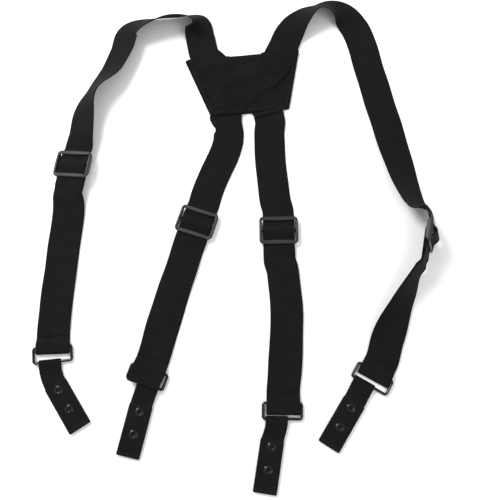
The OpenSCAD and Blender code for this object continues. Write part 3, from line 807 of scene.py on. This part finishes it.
def loop_rings(k):
    """The loop's webbing, from the panel over the ring's bar and back, bending to the panel."""
    h0, h1, reach = RING_HEADING[k], PANEL_HEADING[k], LOOP_REACH + LOOP_SLACK[k]
    a = tab_origin(k) + 3 * along(h0)
    d = panel_origin(k) + 4 * along(h1)
    pull = 0.36 * float(np.linalg.norm(d - a))
    b, c = a + pull * along(h0), d - pull * along(h1)

    def plan(u):
        """The middle line's place and heading at u from the bar."""
        if u < 3:
            return tab_origin(k) + u * along(h0), h0
        t = (u - 3) / (reach + 1)
        q = ((1 - t) ** 3 * a + 3 * t * (1 - t) ** 2 * b + 3 * t * t * (1 - t) * c + t ** 3 * d)
        return q, h0 + (h1 - h0) * smoothstep(t)

    side = [(reach + 2.5, MID_Z + LAYER), (reach - 2, MID_Z + LAYER),
            (0.6 * LOOP_REACH, MID_Z + LAYER), (0.36 * LOOP_REACH, MID_Z + LAYER + 0.7)]
    back = [(u, 2 * MID_Z - w) for u, w in reversed(side)]
    back[0] = (0.36 * LOOP_REACH, MID_Z - LAYER - 0.35)
    path = refined([*side, *arc(0, RING_Z, LOOP_R, range(75, 291, 24)), *back], 4)
    out = []
    for i, q in enumerate(path):
        t = unit(path[min(i + 1, len(path) - 1)] - path[max(i - 1, 0)])
        p, h = plan(q[0])
        n = -t[1] * along(h) + t[0] * UP
        gather = 0.6 * math.sin(q[0] * 1.35) * bell(q[0], 0.5 * reach, 0.3 * reach)
        lift = q[1] + (gather if q[1] > MID_Z else 0)
        out.append((p + lift * UP, across(h), n))
    return out


STITCH_PITCH = 3.4
# Length, width and height of a stitch
TAB_STITCH = (2.3, 0.55, 0.32)
YOKE_STITCH = (2.5, 0.6, 0.36)
# Where the rows of stitches run on a tab's panel, from its upper edge
HEM_ROWS = (1.2, PANEL_L - 4, PANEL_L - 2)
# Each panel's grid spacing both ways, and the rounding of its corners
TAB_GRID, TAB_ROUND = (1.2, 1.4), 1.2
YOKE_GRID, YOKE_ROUND = (0.72, 1.6), 2.5


def panel_front(u, v):
    """The panel's front: crowned a little, and drawn down along its rows of stitches."""
    crown = 0.18 * (1 - (2 * v / PANEL_W) ** 2)
    drawn = sum(0.28 * bell(u, row, 0.8) for row in HEM_ROWS)
    return PANEL_TOP + 0.12 + crown - drawn


def panel_stitches():
    count = int((PANEL_W - 4) // STITCH_PITCH)
    parts = []
    for row in HEM_ROWS:
        for i in range(count + 1):
            v = (i - count / 2) * STITCH_PITCH
            verts, faces = stitch(*TAB_STITCH)
            parts.append((turned(verts, (row, v, panel_front(row, v)), 90), faces))
    return joined(parts)


def snap_socket():
    """A socket: a flange, a rolled rim and an open bore."""
    r, bore, post_hole = SOCKET_D / 2, BORE / 2, 2.0
    z = PANEL_TOP
    rim = [(r, z + 0.05), (r + 0.02, z + 0.35), (r - 0.12, z + 0.62), (r - 0.55, z + 0.78),
           (r - 0.85, z + 0.98), (r - 1.0, z + 1.35), (r - 1.3, z + 1.72), (r - 1.75, z + 1.88),
           (r - 2.2, z + SOCKET_T - 0.1), (bore + 0.22, z + 1.55), (bore, z + 1.15)]
    rim = [tuple(q) for q in refined(rim, 3)]
    return [*rim, (bore, z + 0.5), (post_hole, z + 0.5), (post_hole, z)]


def snap_cap():
    """A cap: a shallow dome with a step, and the hollow post that is flared in the socket."""
    r, post, hollow = CAP_D / 2, 1.9, 1.2
    dome = [(0, 0.16), (r * 0.3, 0.08), (r * 0.55, 0.02), (r * 0.78, 0.06), (r * 0.93, 0.3),
            (r, 0.62), (r - 0.05, 0.95), (r - 0.5, CAP_T)]
    return [*dome, (post, CAP_T), (post, PANEL_TOP + 0.25), (post - 0.3, PANEL_TOP + 0.45),
            (hollow, PANEL_TOP + 0.35), (hollow, CAP_T), (0, CAP_T)]


def at_snaps(profile):
    """A turned part at both snaps of a tab."""
    verts, faces = lathe_profile(profile, 48)
    return joined([(turned(verts, (SNAP_MARGIN + i * SNAP_PITCH, 0, 0), 0), faces)
                   for i in (0, 1)])


for k, key in enumerate(KEYS):
    frame_at = slider_origin(k), SLIDER_HEADING[k], SLIDER_BANK[k]
    verts, faces = joined([slider_frame(), slider_centre_bar()])
    piece = mesh_object(key + "_slider_frame", set_in(verts, *frame_at), faces)
    finish_piece(piece, plastic, [key + "_slider"])
    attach(piece, key + "_slider_body")

    tab = key + "_tab"
    panel_at = panel_origin(k), PANEL_HEADING[k]
    loop, length = ribbon(key + "_loop_webbing", loop_rings(k), LOOP_W, LOOP_T)
    finish_piece(loop, tab_cloth, [key + "_tab_loop"])
    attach(loop, tab)

    half = PANEL_W / 2
    panel = pad(key + "_panel_webbing", [(0, -half), (PANEL_L, -half), (PANEL_L, half), (0, half)],
                lambda u, v: CAP_T, panel_front, TAB_GRID, TAB_ROUND,
                lambda q: set_in(q, *panel_at))
    finish_piece(panel, tab_cloth, [key + "_tab_panel"])
    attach(panel, tab)

    for name, part, material, slot, node in (
            ("_tab_thread", panel_stitches(), thread, "thread", "_tab_stitching"),
            ("_sockets", at_snaps(snap_socket()), lacquer, "snap", "_snap_sockets"),
            ("_caps", at_snaps(snap_cap()), lacquer, "snap", "_snap_caps")):
        piece = mesh_object(key + name, set_in(part[0], *panel_at), part[1])
        finish_piece(piece, material, [key + node])
        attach(piece, tab)

    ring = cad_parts[key + "_ring"]
    ring.data.materials.clear()
    ring.data.materials.append(lacquer)

# ---- Yoke ----

# Middle lines of the webbings, seen from above
LINES = [np.array([p[:2] for p, _, _ in strap_rings(k, 6)]) for k in range(4)]


def from_line(x, y, *which):
    """The distance to the nearest of the given webbings' middle lines."""
    return min(float(np.min(np.linalg.norm(LINES[k] - (x, y), axis=1))) for k in which)


def yoke_low(x, y):
    """The front panel's underside, draped over the two webbings."""
    edge, fall = 0.7 + STRAP_W / 2, 4
    over_lower = smoothstep((edge + fall - from_line(x, y, FL, BR)) / fall)
    over_upper = smoothstep((edge + fall - from_line(x, y, FR, BL)) / fall)
    low = YOKE_T + 0.06
    return max(low + (LOWER + STRAP_T + 0.1 - low) * over_lower,
               low + (YOKE_FRONT - 0.1 - low) * over_upper)


def yoke_high(x, y):
    """The front: vertical ribs, with a slow pucker along the seam."""
    rib = 0.16 * math.sin(2 * math.pi * x / 2.9)
    pucker = 0.2 * math.sin(x / 5.3 + y / 7.1) + 0.16 * math.sin(y / 4.3 - x / 11)
    return yoke_low(x, y) + YOKE_T + rib + pucker


def on_floor(verts):
    return [np.array(v, float) for v in verts]


def yoke_stitches():
    """A row of stitches along each edge of the front panel, SEAM_INSET in from it."""
    corner = [np.array(q, float) for q in YOKE_CORNERS]
    seam = []
    for i in range(4):
        a, b = unit(corner[i - 1] - corner[i]), unit(corner[(i + 1) % 4] - corner[i])
        seam.append(corner[i] + unit(a + b) * SEAM_INSET / math.sin(math.acos(a @ b) / 2))
    parts = []
    for i in range(4):
        way = seam[(i + 1) % 4] - seam[i]
        count = int(np.linalg.norm(way) // STITCH_PITCH)
        angle = math.degrees(math.atan2(way[1], way[0]))
        for j in range(count):
            q = seam[i] + way * (j + 0.5) / count
            verts, faces = stitch(*YOKE_STITCH)
            parts.append((turned(verts, (*q, yoke_high(*q)), angle), faces))
    return joined(parts)


# The yoke's front and back panels, each cut to YOKE_CORNERS
for name, low, high, node in (
        ("yoke_front_cloth", yoke_low, yoke_high, "yoke_front_panel"),
        ("yoke_back_cloth", lambda x, y: 0.0, lambda x, y: YOKE_T, "yoke_back_panel")):
    cloth = pad(name, YOKE_CORNERS, low, high, YOKE_GRID, YOKE_ROUND, on_floor)
    finish_piece(cloth, yoke_cloth, [node])
    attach(cloth, "harness")

seam_thread = mesh_object("yoke_thread", *yoke_stitches())
finish_piece(seam_thread, thread, ["yoke_seam_thread"])
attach(seam_thread, "harness")

# ---- Floor, light and camera ----

FLOOR_HALF, FLOOR_Z = 6, -0.0003
CAMERA_AT, CAMERA_TOWARDS = (0.005, -0.436, 0.8066), (0.005, -0.22, 0)
LIT_SPOT = (0, -0.2, 0)

floor_mesh = bpy.data.meshes.new("floor")
floor_mesh.from_pydata([(x * FLOOR_HALF, y * FLOOR_HALF, 0)
                        for x, y in ((-1, -1), (1, -1), (1, 1), (-1, 1))], [], [(0, 1, 2, 3)])
floor = linked("floor", floor_mesh)
floor.location.z = FLOOR_Z
floor.data.materials.append(principled("floor", (0.92, 0.92, 0.925), 0.8, spec=0.2)[0])


def aimed(obj, at, towards):
    obj.location = at
    obj.rotation_mode = "QUATERNION"
    obj.rotation_quaternion = (Vector(towards) - Vector(at)).to_track_quat("-Z", "Y")


def area_light(name, at, towards, size, power):
    data = bpy.data.lights.new(name, "AREA")
    data.shape = "DISK"
    data.size = size
    data.energy = power
    aimed(linked(name, data), at, towards)


area_light("key", (-0.75, 0.45, 1.2), LIT_SPOT, size=0.7, power=22)
area_light("fill", (0.9, -0.9, 1.6), LIT_SPOT, size=1.4, power=9)

world = bpy.data.worlds.new("studio")
world.use_nodes = True
background = world.node_tree.nodes["Background"]
background.inputs["Color"].default_value = (1, 1, 1, 1)
background.inputs["Strength"].default_value = 0.75
bpy.context.scene.world = world
bpy.context.scene.view_settings.view_transform = "Standard"

camera_data = bpy.data.cameras.new("camera")
camera_data.sensor_width = 36
camera_data.lens = 50.2
camera_data.clip_start = 0.05
camera = linked("camera", camera_data)
aimed(camera, CAMERA_AT, CAMERA_TOWARDS)
bpy.context.scene.camera = camera
